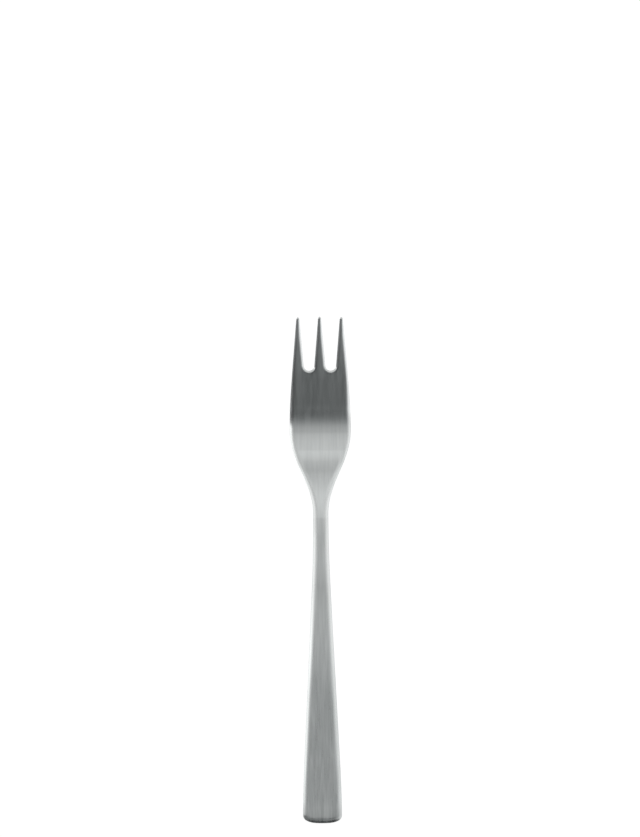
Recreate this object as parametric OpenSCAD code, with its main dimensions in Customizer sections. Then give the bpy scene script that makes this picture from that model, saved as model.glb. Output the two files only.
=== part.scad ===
// Three-tined dessert fork in brushed stainless steel, lying on a table with its tines up.
// X runs across the fork, +Y points to the tips and +Z is up. The table is the plane z = 0.
// The steel is one curved plate: an outline in plan, a bent middle line seen from the side,
// a thickness that varies along it, and edges all the way round: a narrow upright wall, and above and
// below it a soft rounding that runs in from the wall and levels out.
// The station s runs along the fork, from 0 at the butt end to the length at the tips.

/* [Handle] */
// Length from the butt end to where the straight sides end and the neck begins
handle_length = 84; // [70:1:100]
// Width across the butt end
handle_end_width = 13.9; // [11:0.1:18]
// Length over which the sides turn from parallel at the butt end to their taper
butt_ease = 20; // [8:1:40]
// Thickness of the steel at the butt end
handle_thickness = 3.2; // [2.6:0.1:4.5]
// How far the rounding of the handle's edges runs in from its sides and its butt end
handle_edge = 2; // [1:0.1:3]
// How far the rounded butt end runs up the sides
butt_depth = 3.3; // [2.5:0.1:7]
// Squareness of the butt end in plan, where 2 is a half ellipse
butt_squareness = 2.7; // [2:0.1:5]
// Length of the flat under the butt end that lies on the table
rest_length = 6; // [3:0.5:12]
// Length from the butt end over which the handle rises in a straight line
straight_length = 45; // [20:1:70]

/* [Neck] */
// Length from the handle to the narrowest place
neck_length = 26; // [18:1:36]
// Width at the narrowest place
neck_width = 5.4; // [4.2:0.1:8]
// Thickness of the steel in the neck
neck_thickness = 3.6; // [2.6:0.1:5]
// Height of the underside at the top of the arch
neck_height = 6; // [3:0.5:10]
// How far the rounding of the neck's edges runs in from each side
neck_edge = 2.3; // [1:0.1:2.4]
// Length from the top of the arch to the narrowest place
arch_lead = 8; // [2:1:18]

/* [Head] */
// Length from the narrowest place of the neck to the widest place of the head
shoulder_length = 30; // [22:1:38]
// Angle between each shoulder and the middle line
shoulder_angle = 25; // [18:1:32]
// Width at the widest place
head_width = 21.8; // [20:0.2:26]
// Length from the lowest place, which touches the table, to the widest place
belly_lead = 1.5; // [0:0.5:6]
// Length over which the head bends up from its lowest place
bend_length = 9.5; // [6:0.5:18]
// Angle to the table at which that bend ends
bend_angle = 18; // [8:1:26]
// Length from the widest place to the bottoms of the slots
palm_length = 20.9; // [12:0.1:30]
// Thickness of the steel at the widest place
head_thickness = 2.2; // [1.6:0.1:3]
// How far the rounding of the head's edges runs in from each side
head_edge = 1.8; // [0.6:0.1:2.4]
// How far each side draws in from the widest place to the root of its outer tine
draw_in = 1.25; // [0.4:0.05:2.4]

/* [Tines] */
// Length from the bottoms of the slots to the middle tip
tine_length = 19.1; // [12:0.1:26]
// How far the outer tips stop short of the middle one
outer_setback = 0.2; // [0.1:0.1:1.5]
// Width of a tine where its slots begin to round
tine_root_width = 3.9; // [2.6:0.1:4.4]
// Width of a tine at its tip, before the tip is rounded
tine_tip_width = 1.05; // [0.9:0.05:2.4]
// Thickness of the steel at the tips
tip_thickness = 1.3; // [0.9:0.1:2]
// Angle of the tips to the table
tip_angle = 23; // [12:1:32]
// How far the rounding of the tines' edges runs in from each side
tine_edge = 1; // [0.4:0.1:1.6]
// How far the rounding of each tip runs back from its end
tip_edge = 0.8; // [0.5:0.1:3]

/* [Edges] */
// Angle to the plate at which each rounding meets the upright wall of the edge
edge_angle = 39; // [20:1:60]

/* [Hidden] */

// Stations of the places that the sizes above name
neck_start = handle_length;
neck_waist = neck_start + neck_length;
arch_top = neck_waist - arch_lead;
shoulder_middle = neck_waist + shoulder_length / 2;
head_widest = neck_waist + shoulder_length;
belly = head_widest - belly_lead;
bend_end = belly + bend_length;
slot_bottom = head_widest + palm_length;
fork_length = slot_bottom + tine_length;
outer_tip = fork_length - outer_setback;

// Distance between the middle lines of neighbouring tines
tine_pitch = head_width / 2 - draw_in - tine_root_width / 2;

// The slots end in half circles, and the tines part from the head where their edges begin to round
slot_radius = (tine_pitch - tine_root_width) / 2;
slot_centre = slot_bottom + slot_radius;
tine_start = slot_bottom - tine_edge;

// Share of a half width, and of a half thickness, that one rounded edge may take
edge_share = 0.9;
// Share of its width that is left at the very end of a tip
blunt_share = 0.45;

// Greatest spacing of the sections along the handle, and along the neck, head and tines
handle_step = 3;
bend_step = 1.5;
// Steps round each rounded edge, and across the flat between two edges
edge_steps = 5;
flat_steps = 4;

steel = [0.72, 0.73, 0.73];

// Smooth curve through knots of [station, value, slope], and the slope of that curve
function knot_span(knots, s) =
    max([0, for (i = [1 : len(knots) - 2]) if (s >= knots[i][0]) i]);
function curve(knots, s) =
    let (
        i = knot_span(knots, s),
        a = knots[i],
        b = knots[i + 1],
        run = b[0] - a[0],
        t = (s - a[0]) / run
    )
    a[1] + (b[1] - a[1]) * t * t * (3 - 2 * t)
        + run * t * (1 - t) * (a[2] * (1 - t) - b[2] * t);
function curve_slope(knots, s) =
    let (
        i = knot_span(knots, s),
        a = knots[i],
        b = knots[i + 1],
        run = b[0] - a[0],
        t = (s - a[0]) / run
    )
    6 * (b[1] - a[1]) / run * t * (1 - t)
        + a[2] * (1 - t) * (1 - 3 * t) + b[2] * t * (3 * t - 2);

// How far a rounding has risen, from 0 to 1, at a distance d inside a rim from which it runs in by run:
// the soft parabola of an edge, and the round ellipse of a tip in plan
function crown(d, run) = 1 - pow(max(0, 1 - d / run), 2);
function rounding(d, run) = sqrt(max(0, crown(d, run)));

// The handle's sides are parallel at the butt end, turn to an even taper, and turn back again in
// the neck, so that they are parallel at its narrowest place
handle_taper = (handle_end_width - neck_width) / (neck_waist + neck_start - butt_ease);
ease_half = handle_end_width / 2 - handle_taper * butt_ease / 2;
neck_start_half = neck_width / 2 + handle_taper * neck_length / 2;

// Each tine narrows evenly from its root to its tip, which is rounded in plan
tine_taper = (tine_root_width - tine_tip_width) / 2 / (fork_length - slot_centre);
function tip_left(s, tip) = max(blunt_share, rounding(tip - s, tip_edge));
function tine_half(s, tip) = (tine_root_width / 2 - tine_taper * (s - slot_centre)) * tip_left(s, tip);

// Half width of the outline in plan, apart from the slots and the round of the butt end
outline_knots = [
    [0, handle_end_width / 2, 0],
    [butt_ease, ease_half, -handle_taper],
    [neck_start, neck_start_half, -handle_taper],
    [neck_waist, neck_width / 2, 0],
    [shoulder_middle, (neck_width + head_width) / 4, tan(shoulder_angle)],
    [head_widest, head_width / 2, 0],
    [slot_centre, tine_pitch + tine_root_width / 2, -tine_taper],
];
function outline(s, tip = fork_length) =
    s < slot_centre ? curve(outline_knots, s) : tine_pitch + tine_half(s, tip);

// The butt end is half a superellipse. Its figure is 1 on the rim and falls to 0 inside, and its
// growth across and along the fork turns the figure into a distance from the rim.
function butt_share(s) = max(0, 1 - s / butt_depth);
function butt_figure(x, s) =
    pow(
        pow(abs(x) / outline(s), butt_squareness) + pow(butt_share(s), butt_squareness),
        1 / butt_squareness
    );
function butt_growth(x, s) =
    [
        pow(abs(x) / outline(s), butt_squareness - 1) / outline(s),
        pow(butt_share(s), butt_squareness - 1) / butt_depth
    ];
function butt_distance(x, s) =
    let (figure = butt_figure(x, s))
    (1 - figure) * pow(figure, butt_squareness - 1) / norm(butt_growth(x, s));
// Station of the rim at a share of the half width
function butt_rim(share) =
    butt_depth * (1 - pow(1 - pow(abs(share), butt_squareness), 1 / butt_squareness));

// Thickness of the steel, and how far its rounded edges run in
thickness_knots = [
    [0, handle_thickness, 0],
    [arch_top, neck_thickness, 0],
    [head_widest, head_thickness, 0],
    [fork_length, tip_thickness, 2 * (tip_thickness - head_thickness) / (fork_length - head_widest)],
];
edge_knots = [
    [0, handle_edge, 0],
    [neck_waist, neck_edge, 0],
    [head_widest, head_edge, 0],
    [tine_start, tine_edge, 0],
    [fork_length, tine_edge, 0],
];

// Height of the underside: a straight rise from the flat at the butt end, an arch over the neck, down
// to the table again under the head, and a bend up to the tips. Its slope changes evenly from each knot
// to the next. The butt end is drawn a little below the table, which cuts the flat.
rise = neck_height / ((straight_length + arch_top) / 2 - rest_length);
fall = 2 * neck_height / (belly - arch_top);
bend_height = tan(bend_angle) * bend_length / 2;
tip_height = bend_height + (tan(bend_angle) + tan(tip_angle)) * (fork_length - bend_end) / 2;
underside_knots = [
    [0, -rest_length * rise, rise],
    [straight_length, (straight_length - rest_length) * rise, rise],
    [arch_top, neck_height, 0],
    [shoulder_middle, (belly - shoulder_middle) * fall / 2, -fall],
    [belly, 0, 0],
    [bend_end, bend_height, tan(bend_angle)],
    [fork_length, tip_height, tan(tip_angle)],
];

// Thickness measured straight up, which grows where the plate slopes, and the plate's middle height
function upright(s) =
    curve(thickness_knots, s) * sqrt(1 + pow(curve_slope(underside_knots, s), 2));
function middle_height(s) = curve(underside_knots, s) + upright(s) / 2;

// Distance from the nearer slot's wall: straight sides above the centre of its round end, an arc below
function slot_distance(x, s, tip) =
    let (beside = abs(x) - tine_pitch / 2, below = max(0, slot_centre - s))
    norm([beside, below]) - (tine_pitch / 2 - tine_half(max(s, slot_centre), tip));

// How far a rounded edge runs in where the plate is a given half width
function edge_run(s, half_width) = min(curve(edge_knots, s), edge_share * half_width);

// Distance from the outer rim
function rim_distance(x, s, tip) =
    s < butt_depth ? butt_distance(x, s) : outline(s, tip) - abs(x);

// Half of the upright thickness at a point of the plan, drawn in by the edges near it
function half_thickness(x, s, tip) =
    let (
        run = edge_run(s, s < slot_centre ? outline(s) : tine_half(s, tip)),
        at_rim = crown(rim_distance(x, s, tip), run),
        at_slot = s < tine_start ? 1 : crown(slot_distance(x, s, tip), run),
        at_tip = crown(tip - s, tip_edge),
        drop = tan(edge_angle) / 2 * (run * (1 - at_rim * at_slot) + tip_edge * (1 - at_tip))
    )
    max(upright(s) / 2 - drop, upright(s) / 2 * (1 - edge_share));

// Places across a section from left to right, close together near both sides
function across(left, right, run) =
    concat(
        [for (i = [0 : edge_steps - 1]) left + run * i / edge_steps],
        [for (i = [0 : flat_steps]) left + run + (right - left - 2 * run) * i / flat_steps],
        [for (i = [edge_steps - 1 : -1 : 0]) right - run * i / edge_steps]
    );

// One section of the plate: a list of [x, y, middle height, half thickness]
function section(s, left, right, tip) =
    [
        for (x = across(left, right, edge_run(s, (right - left) / 2)))
            [x, s - fork_length / 2, middle_height(s), half_thickness(x, s, tip)]
    ];
function full_section(s) = section(s, -outline(s), outline(s), fork_length);

// One section of the butt end: it follows the round of the rim at 0 and is straight at butt_inner
butt_inner = 2 * butt_depth;
function butt_section(inward) =
    let (end_half = outline(0))
    [
        for (place = across(-end_half, end_half, edge_run(0, end_half)))
            let (
                share = place / end_half,
                s = butt_rim(share) + (butt_inner - butt_rim(share)) * inward / butt_inner,
                x = share * outline(s)
            )
            [x, s - fork_length / 2, middle_height(s), half_thickness(x, s, fork_length)]
    ];

// Stations from one place to another, evenly spaced or crowding towards a rim
function even(from, to, step) =
    let (count = ceil((to - from) / step)) [for (i = [0 : count]) from + (to - from) * i / count];
function crowding(rim, inner) =
    [for (i = [0 : edge_steps]) rim + (inner - rim) * (1 - cos(90 * i / edge_steps))];
function without_last(list) = [for (i = [0 : len(list) - 2]) list[i]];
function backwards(list) = [for (i = [len(list) - 1 : -1 : 0]) list[i]];

// Closed solid between the upper and the lower face of a run of sections
module plate(sections) {
    rows = len(sections);
    columns = len(sections[0]);
    places = [for (row = sections) each row];
    count = len(places);
    points = concat(
        [for (p = places) [p[0], p[1], p[2] + p[3]]],
        [for (p = places) [p[0], p[1], p[2] - p[3]]]
    );
    function upper(r, c) = r * columns + c;
    function lower(r, c) = upper(r, c) + count;
    function halves(a, b, c, d) = [[a, b, c], [a, c, d]];
    last_row = rows - 1;
    last_column = columns - 1;
    faces = concat(
        [
            for (r = [0 : last_row - 1], c = [0 : last_column - 1]) each concat(
                halves(upper(r, c), upper(r + 1, c), upper(r + 1, c + 1), upper(r, c + 1)),
                halves(lower(r, c), lower(r, c + 1), lower(r + 1, c + 1), lower(r + 1, c))
            )
        ],
        [
            for (r = [0 : last_row - 1]) each concat(
                halves(upper(r + 1, 0), upper(r, 0), lower(r, 0), lower(r + 1, 0)),
                halves(
                    upper(r, last_column), upper(r + 1, last_column),
                    lower(r + 1, last_column), lower(r, last_column)
                )
            )
        ],
        [
            for (c = [0 : last_column - 1]) each concat(
                halves(upper(0, c), upper(0, c + 1), lower(0, c + 1), lower(0, c)),
                halves(
                    upper(last_row, c + 1), upper(last_row, c),
                    lower(last_row, c), lower(last_row, c + 1)
                )
            )
        ]
    );
    polyhedron(points, faces);
}

// Flat tapered handle with a rounded butt end and a flat under it to rest on
module handle() {
    butt_rows = concat(
        without_last(crowding(0, handle_edge)),
        without_last(even(handle_edge, butt_inner, bend_step))
    );
    color(steel) difference() {
        plate(concat(
            [for (inward = butt_rows) butt_section(inward)],
            [for (s = even(butt_inner, neck_start, handle_step)) full_section(s)]
        ));
        translate([-handle_end_width, -fork_length, -handle_thickness])
            cube([2 * handle_end_width, fork_length, handle_thickness]);
    }
}

// Slim bar that carries the arch between handle and head
module neck() {
    color(steel) plate([for (s = even(neck_start, neck_waist, bend_step)) full_section(s)]);
}

// Flared plate that dips to the table at its widest place
module head() {
    stations = concat(
        without_last(even(neck_waist, belly, bend_step)),
        even(belly, tine_start, bend_step)
    );
    color(steel) plate([for (s = stations) full_section(s)]);
}

// One tine with its share of the rounded slot bottoms: side is -1, 0 or 1 from left to right
module tine(side) {
    tip = side == 0 ? fork_length : outer_tip;
    // How far the tine reaches from its own middle line towards a slot
    function to_slot(s) =
        s < slot_bottom ? tine_pitch / 2
            : s < slot_centre ? tine_pitch / 2 - sqrt(max(0, pow(slot_radius, 2) - pow(slot_centre - s, 2)))
            : tine_half(s, tip);
    function inner(s) = tine_pitch - to_slot(s);
    stations = concat(
        backwards(crowding(slot_bottom, tine_start)),
        [for (i = [1 : edge_steps]) slot_centre - slot_radius * cos(90 * i / edge_steps)],
        [for (s = even(slot_centre, tip - tip_edge, bend_step)) if (s > slot_centre) s],
        [for (s = backwards(crowding(tip, tip - tip_edge))) if (s > tip - tip_edge) s]
    );
    color(steel) plate([
        for (s = stations) section(
            s,
            side == 0 ? -to_slot(s) : side > 0 ? inner(s) : -outline(s, tip),
            side == 0 ? to_slot(s) : side > 0 ? outline(s, tip) : -inner(s),
            tip
        )
    ]);
}

module left_tine() { tine(-1); }
module middle_tine() { tine(0); }
module right_tine() { tine(1); }

handle();
neck();
head();
left_tine();
middle_tine();
right_tine();
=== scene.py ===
# %% [markdown]
# # A brushed steel dessert fork
#
# The fork is one piece of stainless steel: a flat handle that widens to a rounded butt end, a slim
# arched neck, a flared head and three tapering tines. The imported CAD model gives it as six solids
# that meet face to face. On the real fork there are no such seams, so this lesson makes one unbroken
# skin in the same place, gives it a brushed steel finish, and lights it like a product photograph
# taken from straight above.
#
# The frame is loaded first.

# %% Load the frame
import math

import bmesh
import bpy
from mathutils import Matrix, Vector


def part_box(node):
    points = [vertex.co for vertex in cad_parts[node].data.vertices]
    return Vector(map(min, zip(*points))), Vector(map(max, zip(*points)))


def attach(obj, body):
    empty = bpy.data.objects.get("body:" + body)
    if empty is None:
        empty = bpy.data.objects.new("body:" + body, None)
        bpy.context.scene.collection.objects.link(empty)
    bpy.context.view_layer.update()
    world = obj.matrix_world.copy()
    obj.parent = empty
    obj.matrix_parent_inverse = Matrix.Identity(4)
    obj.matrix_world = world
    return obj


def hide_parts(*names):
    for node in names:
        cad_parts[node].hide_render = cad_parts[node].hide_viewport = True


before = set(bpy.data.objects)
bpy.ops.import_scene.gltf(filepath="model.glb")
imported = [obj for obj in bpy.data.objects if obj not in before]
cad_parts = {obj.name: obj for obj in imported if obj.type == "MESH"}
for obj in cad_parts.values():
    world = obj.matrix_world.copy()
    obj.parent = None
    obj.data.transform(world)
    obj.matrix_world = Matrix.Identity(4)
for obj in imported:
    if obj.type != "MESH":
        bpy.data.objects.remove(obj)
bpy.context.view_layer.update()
scene = bpy.context.scene
scene.view_settings.view_transform = "Standard"
print("solids:", sorted(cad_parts))

# %% [markdown]
# ## Sizes
#
# Lengths along the fork are stations in millimetres, counted from the butt end. Most of them, and the
# main widths, can be read from the solids' boxes, so they follow the frame by themselves. What no box
# shows, such as how far the edges are rounded, is a named value here, in millimetres or degrees. The last
# line of them has no unit: the share of a half width or half thickness that an edge may take up, the share
# of a tine's width that its blunt tip keeps, and the exponent of the butt end's superellipse.

# %% Read the sizes from the frame
MM = 0.001
butt_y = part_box("handle")[0].y


def station(y):
    """Millimetres from the butt end to a place along the frame's Y axis."""
    return (y - butt_y) / MM


def box_width(node):
    """Width of a solid's box across the fork, in millimetres."""
    low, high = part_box(node)
    return (high.x - low.x) / MM


neck_start = station(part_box("neck")[0].y)
neck_waist = station(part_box("neck")[1].y)
tine_start = station(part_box("head")[1].y)
fork_length = station(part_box("middle_tine")[1].y)
outer_tip = station(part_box("left_tine")[1].y)
handle_end_width = box_width("handle")
head_width = box_width("head")
tine_pitch = box_width("middle_tine")
print(f"length {fork_length:.1f} mm, head {head_width:.1f} mm wide, tines {tine_pitch:.2f} mm apart")

# %% Name the sizes that no box shows
butt_ease, butt_depth = 20, 3.3
rest_length, straight_length = 6, 45
neck_width, neck_height, arch_lead = 5.4, 6, 8
shoulder_length, shoulder_angle = 30, 25
belly_lead, bend_length, bend_angle = 1.5, 9.5, 18
tine_root_width, tine_tip_width = 3.9, 1.05
tip_angle, tip_edge = 23, 0.8
handle_edge, neck_edge, head_edge, tine_edge, edge_angle = 2, 2.3, 1.8, 1, 39
handle_thickness, neck_thickness, head_thickness, tip_thickness = 3.2, 3.6, 2.2, 1.3
edge_share, blunt_share, butt_squareness = 0.9, 0.45, 2.7

arch_top = neck_waist - arch_lead
shoulder_middle = neck_waist + shoulder_length / 2
head_widest = neck_waist + shoulder_length
belly = head_widest - belly_lead
bend_end = belly + bend_length
slot_bottom = tine_start + tine_edge
slot_radius = (tine_pitch - tine_root_width) / 2
slot_centre = slot_bottom + slot_radius
print(f"slots end {slot_bottom:.1f} mm from the butt end, in half circles of {slot_radius:.2f} mm")

# %% [markdown]
# ## The form as curves
#
# A fork is drawn as a plan and a side view. In plan, one curve gives the half width at each station.
# In the side view, one curve gives the height of the underside and another the thickness of the steel.
# Each is a chain of cubic pieces through a few knots of station, value and slope, as a thin strip of wood
# bends round a handful of pins on a drawing board.

# %% A smooth curve through knots


def span(knots, s):
    """The two knots on either side of a station."""
    i = max([0] + [k for k in range(1, len(knots) - 1) if s >= knots[k][0]])
    return knots[i], knots[i + 1]


def curve(knots, s):
    """Value of the curve at a station."""
    a, b = span(knots, s)
    run = b[0] - a[0]
    t = (s - a[0]) / run
    ease = t * t * (3 - 2 * t)
    return a[1] + (b[1] - a[1]) * ease + run * t * (1 - t) * (a[2] * (1 - t) - b[2] * t)


def curve_slope(knots, s):
    """Slope of the curve at a station."""
    a, b = span(knots, s)
    run = b[0] - a[0]
    t = (s - a[0]) / run
    return 6 * (b[1] - a[1]) / run * t * (1 - t) + a[2] * (1 - t) * (1 - 3 * t) + b[2] * t * (3 * t - 2)


def crown(d, run):
    """How far a rounding has risen, from 0 to 1, at a distance d inside a rim from which it runs in."""
    return 1 - max(0, 1 - max(0, d) / run) ** 2


quarter = curve([(0, 0, 0), (1, 1, 0)], 0.25)
print(f"level at both ends, a curve from 0 to 1 has reached {quarter:.2f} after a quarter of its run")

# %% [markdown]
# ### Plan
#
# The sides are parallel at the butt end, taper evenly, and are parallel again at the narrowest place of
# the neck. From there they flare over the shoulders to the widest place of the head and draw in again
# towards the tines. The butt end is a superellipse: rounder than a rectangle, squarer than a half circle.
# Each slot has straight walls and ends in a half circle.

# %% Plan of the fork
handle_taper = (handle_end_width - neck_width) / (neck_waist + neck_start - butt_ease)
tine_taper = (tine_root_width - tine_tip_width) / 2 / (fork_length - slot_centre)
outline_knots = [
    (0, handle_end_width / 2, 0),
    (butt_ease, handle_end_width / 2 - handle_taper * butt_ease / 2, -handle_taper),
    (neck_start, neck_width / 2 + handle_taper * (neck_waist - neck_start) / 2, -handle_taper),
    (neck_waist, neck_width / 2, 0),
    (shoulder_middle, (neck_width + head_width) / 4, math.tan(math.radians(shoulder_angle))),
    (head_widest, head_width / 2, 0),
    (slot_centre, tine_pitch + tine_root_width / 2, -tine_taper),
]


def tine_half(s, tip):
    """Half width of a tine, drawn in to a blunt round tip."""
    straight = tine_root_width / 2 - tine_taper * (s - slot_centre)
    return straight * max(blunt_share, math.sqrt(crown(tip - s, tip_edge)))


def outline(s, tip):
    """Half width of the whole fork at a station, apart from the round of the butt end."""
    return curve(outline_knots, s) if s < slot_centre else tine_pitch + tine_half(s, tip)


def butt_rim(share):
    """Station of the butt end's rim at a share of the half width."""
    return butt_depth * (1 - (1 - abs(share) ** butt_squareness) ** (1 / butt_squareness))


def butt_distance(x, s):
    """Distance from the rim near the butt end."""
    n, half = butt_squareness, outline(s, fork_length)
    across_share, along_share = abs(x) / half, 1 - s / butt_depth
    figure = (across_share**n + along_share**n) ** (1 / n)
    steepness = math.hypot(across_share ** (n - 1) / half, along_share ** (n - 1) / butt_depth)
    return (1 - figure) * figure ** (n - 1) / steepness


def slot_distance(x, s, tip):
    """Distance from the wall of the nearer slot."""
    beside = abs(x) - tine_pitch / 2
    below = max(0, slot_centre - s)
    return math.hypot(beside, below) - (tine_pitch / 2 - tine_half(max(s, slot_centre), tip))


handle_degrees, tine_degrees = (math.degrees(math.atan(taper)) for taper in (handle_taper, tine_taper))
print(f"each side of the handle tapers {handle_degrees:.1f} degrees, of a tine {tine_degrees:.1f}")

# %% [markdown]
# ### Side view
#
# The fork lies on the table: on a flat under the butt end and on the underside of the head's widest
# place. Between them the handle rises to the arch of the neck, and beyond the head the tines rise to
# their tips. The steel is thickest in the neck, which has to carry the bending, and thins to the tips.
# The edges are stamped upright and then ground: a narrow wall stays, and above and below it a soft
# rounding runs in from the wall and levels out.

# %% Side view of the fork
rise = neck_height / ((straight_length + arch_top) / 2 - rest_length)
fall = 2 * neck_height / (belly - arch_top)
bend_slope, tip_slope = math.tan(math.radians(bend_angle)), math.tan(math.radians(tip_angle))
edge_slope = math.tan(math.radians(edge_angle))
bend_height = bend_slope * bend_length / 2
tip_height = bend_height + (bend_slope + tip_slope) * (fork_length - bend_end) / 2
underside_knots = [
    (0, -rest_length * rise, rise),
    (straight_length, (straight_length - rest_length) * rise, rise),
    (arch_top, neck_height, 0),
    (shoulder_middle, (belly - shoulder_middle) * fall / 2, -fall),
    (belly, 0, 0),
    (bend_end, bend_height, bend_slope),
    (fork_length, tip_height, tip_slope),
]
thickness_knots = [
    (0, handle_thickness, 0),
    (arch_top, neck_thickness, 0),
    (head_widest, head_thickness, 0),
    (fork_length, tip_thickness, 2 * (tip_thickness - head_thickness) / (fork_length - head_widest)),
]
edge_knots = [
    (0, handle_edge, 0),
    (neck_waist, neck_edge, 0),
    (head_widest, head_edge, 0),
    (tine_start, tine_edge, 0),
    (fork_length, tine_edge, 0),
]


def upright(s):
    """Thickness measured straight up, which grows where the plate slopes."""
    return curve(thickness_knots, s) * math.hypot(1, curve_slope(underside_knots, s))


def edge_shape(x, s, tip):
    """How far an edge has risen at a point of the plan, from 0 to 1, and the half thickness there."""
    half_width = outline(s, tip) if s < slot_centre else tine_half(s, tip)
    run = min(curve(edge_knots, s), edge_share * half_width)
    risen = crown(butt_distance(x, s) if s < butt_depth else outline(s, tip) - abs(x), run)
    if s >= tine_start:
        risen *= crown(slot_distance(x, s, tip), run)
    drop = edge_slope / 2 * (run * (1 - risen) + tip_edge * (1 - crown(tip - s, tip_edge)))
    return risen, max(upright(s) / 2 - drop, upright(s) / 2 * (1 - edge_share))


print(f"underside {neck_height} mm up at the neck and {tip_height:.1f} mm at the tips")

# %% [markdown]
# ## The skin
#
# The skin could be a subdivided cage, but its edges would drift from the drawing. Here the drawing is
# sampled instead, on a grid of quads close enough to shade smoothly. The grid has three lanes, one for
# each tine. Below the slots the lanes lie side by side and share their borders; above, each follows its
# own tine. Rows that cut a round rim aslant would shade unevenly, so they follow the round butt end and
# turn round the bottoms of the slots, and the places in a row crowd towards the rims.

# %% Spacing of the grid
EDGE_STEPS, FLAT_STEPS, TURN_STEPS, STEP = 9, 5, 18, 0.6
bend_shares = [(i / EDGE_STEPS) ** 2 for i in range(EDGE_STEPS + 1)]


def even(low, high):
    """Evenly spaced stations, without the last."""
    count = math.ceil((high - low) / STEP)
    return [low + (high - low) * i / count for i in range(count)]


def crowded(rim, inner):
    """Stations that crowd towards a rim, from the rim to just before the inner end."""
    return [rim + (inner - rim) * (1 - math.cos(math.pi / 2 * i / EDGE_STEPS)) for i in range(EDGE_STEPS)]


print(f"a rounding takes {EDGE_STEPS} steps, the first of them {bend_shares[1]:.3f} of its run")

# %% Places across a lane


def lane_sides(s, lane, tip):
    """Left and right border of a lane (-1, 0 or 1) at a station. Below the straight slots, lanes touch."""
    if s < slot_centre:
        half = inner = outline(min(s, tine_start), tip) * tine_pitch / 2 / outline(tine_start, tip)
    else:
        half = tine_half(s, tip)
        inner = tine_pitch - half
    if lane == 0:
        return -half, half
    return (inner, outline(s, tip)) if lane > 0 else (-outline(s, tip), -inner)


def straight_bend(border, inward, run, s):
    """Places from a straight border inwards, as far as its rounding runs."""
    return [(border + inward * run * share, s) for share in bend_shares]


def round_bend(middle, inward, turn):
    """Places from the bottom of a slot outwards, as far as its rounding runs, at a turn from its middle."""
    radii = [slot_radius + tine_edge * share for share in bend_shares]
    return [(middle + inward * r * math.sin(turn), slot_centre - r * math.cos(turn)) for r in radii]


def lane_row(s, lane, tip, turn=None):
    """Places (x, s) across one lane. With a turn, the row's ends lie round the bottoms of the slots."""
    left, right = lane_sides(s, lane, tip)
    run = min(curve(edge_knots, s), edge_share * (right - left) / 2)
    from_left, from_right = straight_bend(left, 1, run, s), straight_bend(right, -1, run, s)
    if turn is not None and lane > -1:
        from_left = round_bend((lane - 0.5) * tine_pitch, 1, turn)
    if turn is not None and lane < 1:
        from_right = round_bend((lane + 0.5) * tine_pitch, -1, turn)
    low, high = from_left[-1][0], from_right[-1][0]
    flat = [(low + (high - low) * i / FLAT_STEPS, s) for i in range(1, FLAT_STEPS)]
    return from_left + flat + from_right[::-1]


print(len(lane_row(head_widest, 0, fork_length)), "places across each lane")

# %% Rows of a lane
butt_inner = 2 * butt_depth
turn_radius = slot_radius + tine_edge


def butt_row(inward, lane):
    """Places across one lane that follow the round butt end: along the rim at 0, straight at butt_inner."""
    row = []
    for x, _ in lane_row(0, lane, fork_length):
        share = x / outline(0, fork_length)
        s = butt_rim(share) + (butt_inner - butt_rim(share)) * inward / butt_inner
        row.append((share * outline(s, fork_length), s))
    return row


def lane_places(lane, tip):
    """Rows of places of one lane, in two grids that meet below the slots: the body and the tine."""
    butt = [butt_row(inward, lane) for inward in crowded(0, handle_edge) + even(handle_edge, butt_inner)]
    body = [lane_row(s, lane, tip) for s in even(butt_inner, neck_waist) + even(neck_waist, tine_start)]
    turns = [math.pi / 2 * i / TURN_STEPS for i in range(TURN_STEPS)]
    root = [lane_row(slot_centre - turn_radius * math.cos(turn), lane, tip, turn) for turn in turns]
    end = [tip - tip_edge] + crowded(tip, tip - tip_edge)[::-1]
    tine = [lane_row(s, lane, tip) for s in even(slot_centre, tip - tip_edge) + end]
    meeting = [(x, min(s, tine_start)) for x, s in root[0]]
    return butt + body + [meeting], root + tine


row_counts = [len(grid) for grid in lane_places(0, fork_length)]
print(f"middle lane: {row_counts[0]} rows up to the slots, {row_counts[1]} from there to the tip")

# %% [markdown]
# Each place of the plan becomes an upper and a lower corner, and walls join the two faces round the rims.
# The corners keep a share that tells the steel where a rim is polished and given a painted highlight: most
# a little way in from it, none on the faces. Each face is laid out flat, as it lies in the plan, because
# the brushing needs a direction.
# Welding the lanes along their borders leaves one closed mesh with no seam. Edges stay sharp only where the
# surface turns steeply, as where a wall meets a rounding.

# %% Corners, faces and walls
POLISH_AND_HIGHLIGHT_RISE = 3
skin_mesh = bmesh.new()
brush_uv = skin_mesh.loops.layers.uv.new("brushing")
rim_share = skin_mesh.verts.layers.float.new("rim")


def add_corner(x, s, tip):
    """Add one grid corner: upper point, lower point and place in plan."""
    risen, half = edge_shape(x, s, tip)
    middle = curve(underside_knots, s) + upright(s) / 2
    top = skin_mesh.verts.new((x * MM, butt_y + s * MM, (middle + half) * MM))
    low = skin_mesh.verts.new((x * MM, butt_y + s * MM, max(0, middle - half) * MM))
    top[rim_share] = low[rim_share] = (1 - risen**2) * min(1, POLISH_AND_HIGHLIGHT_RISE * risen)
    return top, low, (x * MM, s * MM)


def add_face(points, places):
    """Add one smooth face, laid out flat for the brushing."""
    face = skin_mesh.faces.new(points)
    face.smooth = True
    for loop, place in zip(face.loops, places):
        loop[brush_uv].uv = place


def add_wall(a, b, out_x, out_s):
    """Add the wall between two rim corners. In the layout it folds outwards from the rim."""
    folded = [(u + out_x * depth, v + out_s * depth)
              for (u, v), depth in ((corner[2], corner[0].co.z - corner[1].co.z) for corner in (b, a))]
    add_face([a[0], b[0], b[1], a[1]], [a[2], b[2], *folded])


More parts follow.
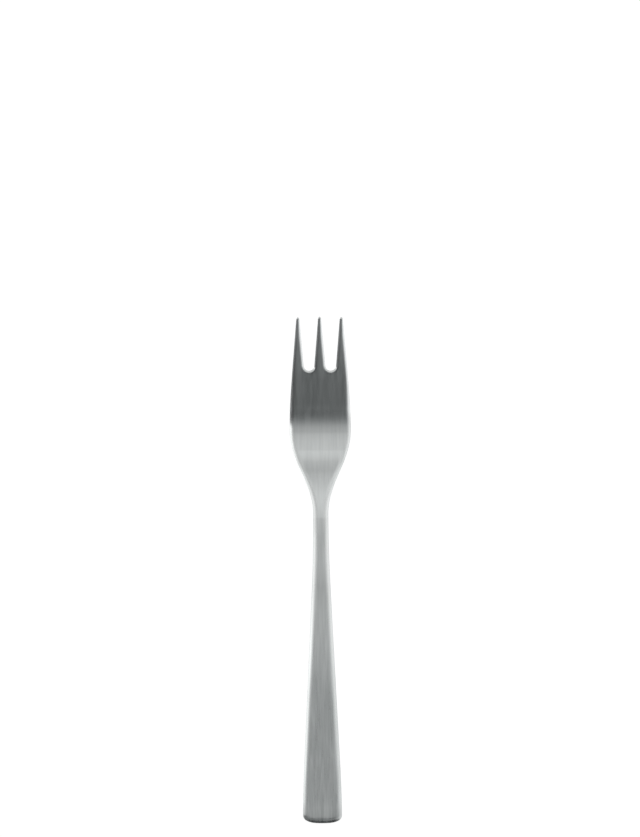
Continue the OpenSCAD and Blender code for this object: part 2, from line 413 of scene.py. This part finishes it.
def add_grid(rows, left_wall, right_wall):
    """Add the upper and the lower face of one grid, and walls along its sides."""
    for near, far in zip(rows, rows[1:]):
        for i in range(len(near) - 1):
            ring = [near[i], near[i + 1], far[i + 1], far[i]]
            for side in (0, 1):
                add_face([corner[side] for corner in ring], [corner[2] for corner in ring])
        if left_wall:
            add_wall(near[0], far[0], -1, 0)
        if right_wall:
            add_wall(near[-1], far[-1], 1, 0)


print("layers of the skin:", brush_uv.name, "and", rim_share.name)

# %% Build the lanes


def add_lane(lane):
    """Add one lane, with walls along its rims and at both ends."""
    tip = fork_length if lane == 0 else outer_tip
    grids = lane_places(lane, tip)
    body, tine = ([[add_corner(x, s, tip) for x, s in row] for row in grid] for grid in grids)
    add_grid(body, lane == -1, lane == 1)
    add_grid(tine, True, True)
    for row, out_s in ((body[0], -1), (tine[-1], 1)):
        for a, b in zip(row, row[1:]):
            add_wall(a, b, 0, out_s)


for lane in (-1, 0, 1):
    add_lane(lane)
print(len(skin_mesh.faces), "faces before welding")

# %% Weld the skin and bind it to the frame
WELD_DISTANCE, SHARP_ANGLE = 0.0005, 30
bmesh.ops.remove_doubles(skin_mesh, verts=skin_mesh.verts, dist=WELD_DISTANCE * MM)
bmesh.ops.dissolve_degenerate(skin_mesh, dist=WELD_DISTANCE * MM, edges=skin_mesh.edges)
bmesh.ops.recalc_face_normals(skin_mesh, faces=skin_mesh.faces)
for edge in skin_mesh.edges:
    edge.smooth = edge.calc_face_angle(0) < math.radians(SHARP_ANGLE)
open_edges = [edge for edge in skin_mesh.edges if len(edge.link_faces) != 2]
fork_mesh = bpy.data.meshes.new("fork_skin")
skin_mesh.to_mesh(fork_mesh)
skin_mesh.free()
fork_skin = bpy.data.objects.new("fork_skin", fork_mesh)
scene.collection.objects.link(fork_skin)
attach(fork_skin, "root")
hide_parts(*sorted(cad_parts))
print(f"skin: {len(fork_mesh.polygons)} faces, {len(open_edges)} open edges")

# %% [markdown]
# ## Brushed steel
#
# The steel is brushed along the fork. Each scratch is a tiny groove that runs lengthwise, so the light
# spreads across the grooves and stays sharper along them: that is anisotropy, set on the shader. The
# scratches could be painted one by one, but noise stretched along the fork gives as many as are needed,
# fine enough to show only as a faint grain from a step away. They show most on the handle. Towards the
# head they grow broader and fainter.

# %% Steel
ANISOTROPY = 0.6
steel = bpy.data.materials.new("brushed_steel")
steel.use_nodes = True
tree = steel.node_tree
shader = tree.nodes["Principled BSDF"]
shader.inputs["Metallic"].default_value = 1.0
shader.inputs["Anisotropic"].default_value = ANISOTROPY
place = tree.nodes.new("ShaderNodeTexCoord").outputs["Object"]
axes = tree.nodes.new("ShaderNodeSeparateXYZ")
tree.links.new(place, axes.inputs[0])
along_fork = axes.outputs["Y"]
print("steel: a metal with anisotropy", ANISOTROPY)

# %% Scratches of two sizes
NOISE_DETAIL, NOISE_ROUGHNESS, UPWARD_SHARE = 2, 0.55, 0.25
FINE_ACROSS, FINE_ALONG = 3.5, 0.14
BROAD_ACROSS, BROAD_ALONG = 1.0, 0.065


def scratches(across_per_mm, along_per_mm):
    """Noise stretched along the fork, with so many scratches to a millimetre."""
    per_mm = (across_per_mm, along_per_mm, across_per_mm * UPWARD_SHARE)
    stretch = tree.nodes.new("ShaderNodeMapping")
    stretch.inputs["Scale"].default_value = [count / MM for count in per_mm]
    noise = tree.nodes.new("ShaderNodeTexNoise")
    noise.inputs["Scale"].default_value = 1.0
    noise.inputs["Detail"].default_value = NOISE_DETAIL
    noise.inputs["Roughness"].default_value = NOISE_ROUGHNESS
    tree.links.new(place, stretch.inputs["Vector"])
    tree.links.new(stretch.outputs["Vector"], noise.inputs["Vector"])
    return noise.outputs["Fac"]


fine = scratches(FINE_ACROSS, FINE_ALONG)
broad = scratches(BROAD_ACROSS, BROAD_ALONG)
print(f"scratches about {1 / FINE_ACROSS:.2f} and {1 / BROAD_ACROSS:.2f} mm wide")

# %% Grain along the fork
BROAD_AT_BUTT, BROAD_AT_HEAD = 0.55, 0.85
GRAIN_AT_BUTT, GRAIN_AT_HEAD, EVEN_GRAIN = 1.0, 0.38, 0.5


def feed(socket, value):
    """Link a socket to another node's output, or give it a number or a colour."""
    if isinstance(value, bpy.types.NodeSocket):
        socket.id_data.links.new(value, socket)
    else:
        socket.default_value = value


def mapped(value, low, high, to_low, to_high):
    """A value whose range from low to high becomes another range."""
    node = value.id_data.nodes.new("ShaderNodeMapRange")
    for name, number in (("From Min", low), ("From Max", high), ("To Min", to_low), ("To Max", to_high)):
        node.inputs[name].default_value = number
    feed(node.inputs["Value"], value)
    return node.outputs["Result"]


def along(to_butt, to_head):
    """A value that changes evenly from the butt end to the widest place of the head."""
    return mapped(along_fork, butt_y, butt_y + head_widest * MM, to_butt, to_head)


def mixed(data_type, blend_type, factor, first, second):
    """Two values or colours of the steel, mixed or multiplied by a factor."""
    node = tree.nodes.new("ShaderNodeMix")
    node.data_type = data_type
    node.blend_type = blend_type
    for name, value in (("Factor", factor), ("A", first), ("B", second)):
        feed(node.inputs[name], value)
    return node.outputs["Result"]


both = mixed("FLOAT", "MIX", along(BROAD_AT_BUTT, BROAD_AT_HEAD), fine, broad)
grain = mixed("FLOAT", "MIX", along(GRAIN_AT_BUTT, GRAIN_AT_HEAD), EVEN_GRAIN, both)
print(f"grain: {GRAIN_AT_BUTT:.0%} of the scratches at the butt end, {GRAIN_AT_HEAD:.0%} on the head")

# %% [markdown]
# The scratches change the tone of the steel. Brushing is done in passes, and the end of a pass stays
# visible as a slight step of shade across the fork. The ramp along the fork that gives these steps, at both
# ends of the neck, on the shoulders and on the head, also paints shade and light in, where the mirrored
# light falls darker or lighter: a painted shade at the butt end and painted light on the tines, which come
# out lightest. The steps are a little ragged, because each bristle stops at its own place, so the broad
# scratches shift them. Masks drawn by hand would do the same, but a ramp along the fork needs no picture.
# The rounded rims are polished, and a painted highlight on top makes them lighter than the brushed faces:
# least at the butt end and on the shoulders, most from the head on.

# %% Tone of the scratches
DARKEST, LIGHTEST = (0.56, 0.585, 0.585), (0.79, 0.815, 0.815)
GRAIN_LOW, GRAIN_HIGH = 0.3, 0.7


def ramp(value, stops):
    """Colours of a ramp with stops at places from 0 to 1, by a value."""
    node = value.id_data.nodes.new("ShaderNodeValToRGB")
    elements = node.color_ramp.elements
    elements.remove(elements[-1])
    for i, (position, colour) in enumerate(stops):
        element = elements[0] if i == 0 else elements.new(position)
        element.position = position
        element.color = (*colour, 1)
    feed(node.inputs["Fac"], value)
    return node.outputs["Color"]


tone = ramp(grain, [(GRAIN_LOW, DARKEST), (GRAIN_HIGH, LIGHTEST)])
print("tone of the scratches from", DARKEST, "to", LIGHTEST)

# %% Ends of the passes, with painted shade and light
RAGGED = 0.6
# Shares along the fork: partly ends of brushing passes, partly painted shade and painted light
pass_ends_and_painted_light = [
    (0, 0.86), (2.5, 0.91), (5.5, 1), (45, 1), (61, 1.05), (76, 1), (84, 0.88), (93, 0.98), (108.3, 0.88),
    (108.9, 1), (125.5, 1.03), (128.5, 0.9), (132.2, 0.99), (132.7, 0.93), (136, 1), (138.4, 1),
    (138.9, 0.91), (144, 1.03), (146.3, 1.09), (149.5, 0.95), (158, 0.94), (168, 1.08), (180, 1.18),
]


def worked_out(operation, *values):
    """A number worked out from others by a Math node."""
    node = values[0].id_data.nodes.new("ShaderNodeMath")
    node.operation = operation
    for socket, value in zip(node.inputs, values):
        feed(socket, value)
    return node.outputs[0]


def neutral(share):
    """A grey of one share of white."""
    return share, share, share


def by_station(shares):
    """A share that changes along the fork, by stations in millimetres."""
    return ramp(reached, [(s / fork_length, neutral(share)) for s, share in shares])


butt_mean = butt_y + RAGGED * MM / 2
bristle = worked_out("MULTIPLY_ADD", broad, RAGGED * MM, along_fork)
reached = mapped(bristle, butt_mean, butt_mean + fork_length * MM, 0, 1)
# The scratches' tone times the ramp of pass ends, painted shade and painted light
brushed_and_painted_light = mixed("RGBA", "MULTIPLY", 1.0, tone, by_station(pass_ends_and_painted_light))
print(len(pass_ends_and_painted_light), "shades along the brushing passes")

# %% Polished rims, with a painted highlight
# A lighter colour on the rims: partly polish, partly a painted highlight, least on the shoulders and most
# from the head on
POLISHED_AND_HIGHLIGHT = (0.84, 0.85, 0.85)
rim_polish_and_highlight_passes = [(0, 0.25), (116, 0.87), (121, 0.3), (128, 0.35), (135, 0.95)]
rim_attribute = tree.nodes.new("ShaderNodeAttribute")
rim_attribute.attribute_name = "rim"
rim = rim_attribute.outputs["Fac"]
rim_polish_and_highlight = worked_out("MULTIPLY", rim, by_station(rim_polish_and_highlight_passes))
polished_and_highlit = mixed("RGBA", "MIX", rim_polish_and_highlight, brushed_and_painted_light, (*POLISHED_AND_HIGHLIGHT, 1))
tree.links.new(polished_and_highlit, shader.inputs["Base Color"])
print("rims polished to", POLISHED_AND_HIGHLIGHT)

# %% [markdown]
# The scratches also change how sharply the steel mirrors the room, and they are grooves. Modelled ones
# would take millions of faces, so the roughness follows the scratches and a bump stands for their depth.
# The polished rims mirror more sharply than the faces, and the rounding of the butt end, which is brushed
# across its edge, more softly. The layout of the skin tells the shader which way the scratches run.

# %% Roughness
SMOOTHEST, ROUGHEST, RIM_SHARE = 0.23, 0.39, 0.68
butt_passes = [(0, 0.8), (0.9, 1.05), (1.5, 1.5), (4.5, 1.5), (8, 1)]
satin = mapped(grain, GRAIN_LOW, GRAIN_HIGH, SMOOTHEST, ROUGHEST)
sharpened = worked_out("MULTIPLY", satin, mapped(rim, 0, 1, 1, RIM_SHARE))
softened = worked_out("MULTIPLY", sharpened, by_station(butt_passes))
tree.links.new(softened, shader.inputs["Roughness"])
print("roughness of the faces from", SMOOTHEST, "to", ROUGHEST)

# %% Grooves and their direction
GROOVE_STRENGTH, GROOVE_DEPTH = 0.12, 0.02
grooves = tree.nodes.new("ShaderNodeBump")
grooves.inputs["Strength"].default_value = GROOVE_STRENGTH
grooves.inputs["Distance"].default_value = GROOVE_DEPTH * MM
tree.links.new(grain, grooves.inputs["Height"])
tree.links.new(grooves.outputs["Normal"], shader.inputs["Normal"])
lengthwise = tree.nodes.new("ShaderNodeTangent")
lengthwise.direction_type = "UV_MAP"
lengthwise.uv_map = "brushing"
tree.links.new(lengthwise.outputs["Tangent"], shader.inputs["Tangent"])
fork_mesh.materials.append(steel)
print("material:", steel.name, "with", len(tree.nodes), "nodes")

# %% [markdown]
# ## Table, light and camera
#
# The photograph shows the fork on pure white. Stronger lamps would whiten the floor, but they would bleach
# the steel too. So the floor gives its own white to what looks at it, directly or in the steel, and a
# little diffuse white on top of that keeps a faint shadow.

# %% Floor
FLOOR_REACH, FLOOR_DROP = 6000, 0.2
floor_mesh = bpy.data.meshes.new("floor")
reach = FLOOR_REACH * MM
floor_corners = [(-reach, -reach, 0), (reach, -reach, 0), (reach, reach, 0), (-reach, reach, 0)]
floor_mesh.from_pydata(floor_corners, [], [(0, 1, 2, 3)])
floor = bpy.data.objects.new("floor", floor_mesh)
floor.location.z = -FLOOR_DROP * MM
scene.collection.objects.link(floor)
print(f"floor: {2 * reach:.0f} m square")

# %% White paper on the floor
PAPER_GLOW, PAPER_TONE = 0.88, (0.3, 0.3, 0.3)
paper = bpy.data.materials.new("white_paper")
paper.use_nodes = True
nodes, links = paper.node_tree.nodes, paper.node_tree.links
nodes.clear()
rays = nodes.new("ShaderNodeLightPath").outputs
glow = nodes.new("ShaderNodeEmission")
matt = nodes.new("ShaderNodeBsdfDiffuse")
matt.inputs["Color"].default_value = (*PAPER_TONE, 1)
total = nodes.new("ShaderNodeAddShader")
out = nodes.new("ShaderNodeOutputMaterial")
seen = worked_out("ADD", rays["Is Camera Ray"], rays["Is Glossy Ray"])
shown = worked_out("ADD", seen, rays["Is Transmission Ray"])
shown.node.use_clamp = True
links.new(worked_out("MULTIPLY", shown, PAPER_GLOW), glow.inputs["Strength"])
links.new(glow.outputs[0], total.inputs[0])
links.new(matt.outputs[0], total.inputs[1])
links.new(total.outputs[0], out.inputs["Surface"])
floor_mesh.materials.append(paper)
print("paper: shows", PAPER_GLOW, "of white to the camera and in the steel")

# %% [markdown]
# Brushed metal shows the room more than its own colour, so the light matters as much as the finish. It
# could be a set of lamps, but the brushing blurs what it mirrors, so soft levels all round the sky do the
# same and are easier to place. One ramp runs from behind the handle over the top to beyond the tips. On
# the left a strip lights the rims of handle and neck, and on the right a broad box stands a little back.
# A card at the left, towards the tips, takes some of the light from above off the left shoulder's rim.

# %% Directions of the sky
world = bpy.data.worlds.new("studio")
scene.world = world
world.use_nodes = True
studio = world.node_tree
direction = studio.nodes.new("ShaderNodeTexCoord").outputs["Generated"]
parts = studio.nodes.new("ShaderNodeSeparateXYZ")
studio.links.new(direction, parts.inputs[0])


def turned(value, low, high, stops):
    """Colours of a ramp by a value that runs from low to high."""
    shares = [((at - low) / (high - low), colour) for at, colour in stops]
    return ramp(mapped(value, low, high, 0, 1), shares)


def facing(towards):
    """How far the view turns to a direction, up to 1."""
    node = studio.nodes.new("ShaderNodeVectorMath")
    node.operation = "DOT_PRODUCT"
    feed(node.inputs[0], direction)
    feed(node.inputs[1], towards)
    return node.outputs["Value"]


def joined(operation, first, second):
    """Two colours added or multiplied."""
    node = studio.nodes.new("ShaderNodeVectorMath")
    node.operation = operation
    feed(node.inputs[0], first)
    feed(node.inputs[1], second)
    return node.outputs["Vector"]


print("sky of the world:", world.name)

# %% Light from above
DIM_TINT, BRIGHT_TINT, TINT_LIMIT = (0.94, 1, 1.015), (1, 1, 0.993), 0.55
over_top = [
    (-90, 0.05), (-70, 0.08), (-60, 0.13), (-54, 0.19), (-47, 0.24), (-42, 0.15), (-37, 0.02), (-30, 0.01),
    (-21, 0.135), (-16.4, 0.275), (-12.3, 0.41), (-9, 0.615), (-5, 0.525), (-2, 0.57), (5, 0.66),
    (10.7, 0.68), (15, 0.735), (22, 0.86), (27, 0.95), (32, 0.83), (38, 0.61), (45, 0.52), (90, 0.6),
]


def grey(brightness):
    """Colour of a grey light, a little cooler where it is dim."""
    warmth = min(1, brightness / TINT_LIMIT)
    return [brightness * (dim + (bright - dim) * warmth) for dim, bright in zip(DIM_TINT, BRIGHT_TINT)]


angle = worked_out("ARCTAN2", parts.outputs["Y"], parts.outputs["Z"])
top_stops = [(math.radians(degrees), grey(brightness)) for degrees, brightness in over_top]
overhead = turned(angle, -math.pi / 2, math.pi / 2, top_stops)
print(len(over_top), "levels of light overhead")

# %% Light from the sides, and a card
STRIP_SIDE, BOX_SIDE, CARD_SIDE = (-1, 0, 0), (0.8, -0.6, 0), (-0.8, 0.6, 0)
strip_levels = [(0.45, 0), (0.58, 0.1), (0.68, 0.32), (0.78, 0.78), (0.86, 1.2), (0.95, 1.45)]
strip_shares = [
    (-0.95, 0), (-0.7, 0.4), (-0.55, 0.12), (-0.22, 0.04), (-0.145, 1), (-0.08, 1), (-0.04, 0.72),
    (0, 0.48), (0.06, 0.38), (0.12, 0.4), (0.2, 0.4), (0.3, 0),
]
box_levels = [(0.36, 0), (0.45, 0.07), (0.55, 0.2), (0.65, 0.4), (0.76, 0.62), (0.85, 0.79), (0.95, 1)]
box_shares = [(-0.9, 0), (-0.65, 1), (-0.35, 1), (-0.13, 0.97), (-0.05, 0.82), (0.07, 0.66), (0.2, 0.5)]
card_shares = [(0.47, 1), (0.67, 0.7)]


def greyed(value, low, shares):
    """A neutral share of light by a value that runs from low to 1."""
    return turned(value, low, 1, [(at, neutral(share)) for at, share in shares])


def side_light(towards, levels, shares):
    """A soft light at one side: levels by how far the view turns to it, times shares along Y."""
    glowing = turned(facing(towards), 0, 1, [(at, grey(brightness)) for at, brightness in levels])
    return joined("MULTIPLY", glowing, greyed(parts.outputs["Y"], -1, shares))


left_strip = side_light(STRIP_SIDE, strip_levels, strip_shares)
right_box = side_light(BOX_SIDE, box_levels, box_shares)
card = greyed(facing(CARD_SIDE), 0, card_shares)
from_above = joined("MULTIPLY", overhead, card)
sky = joined("ADD", joined("ADD", from_above, left_strip), right_box)
studio.links.new(sky, studio.nodes["Background"].inputs["Color"])
print("side lights: a strip on the left and a box on the right. A card dims the sky at the left.")

# %% [markdown]
# The camera looks straight down with a long lens, as the photograph does. A short lens close by would draw
# the raised neck and tips too large. The fork stands a little off upright in the picture and well below
# its middle, so the camera is turned by a third of a degree and stands above the head rather than above
# the middle of the fork.

# %% Camera
PICTURE_PIXELS, FORK_PIXELS = 837, 506.6
CAMERA_X, CAMERA_Y, CAMERA_TURN = -0.075, 53.95, -0.345
CAMERA_DISTANCE, MEAN_HEIGHT, SENSOR = 3000, 5, 24
picture_height = fork_length * PICTURE_PIXELS / FORK_PIXELS
lens = bpy.data.cameras.new("camera")
lens.sensor_fit = "VERTICAL"
lens.sensor_height = SENSOR
lens.lens = SENSOR * CAMERA_DISTANCE / picture_height
camera = bpy.data.objects.new("camera", lens)
camera.location = (CAMERA_X * MM, CAMERA_Y * MM, (CAMERA_DISTANCE + MEAN_HEIGHT) * MM)
camera.rotation_euler.z = math.radians(CAMERA_TURN)
scene.collection.objects.link(camera)
scene.camera = camera
print(f"lens {lens.lens:.0f} mm")
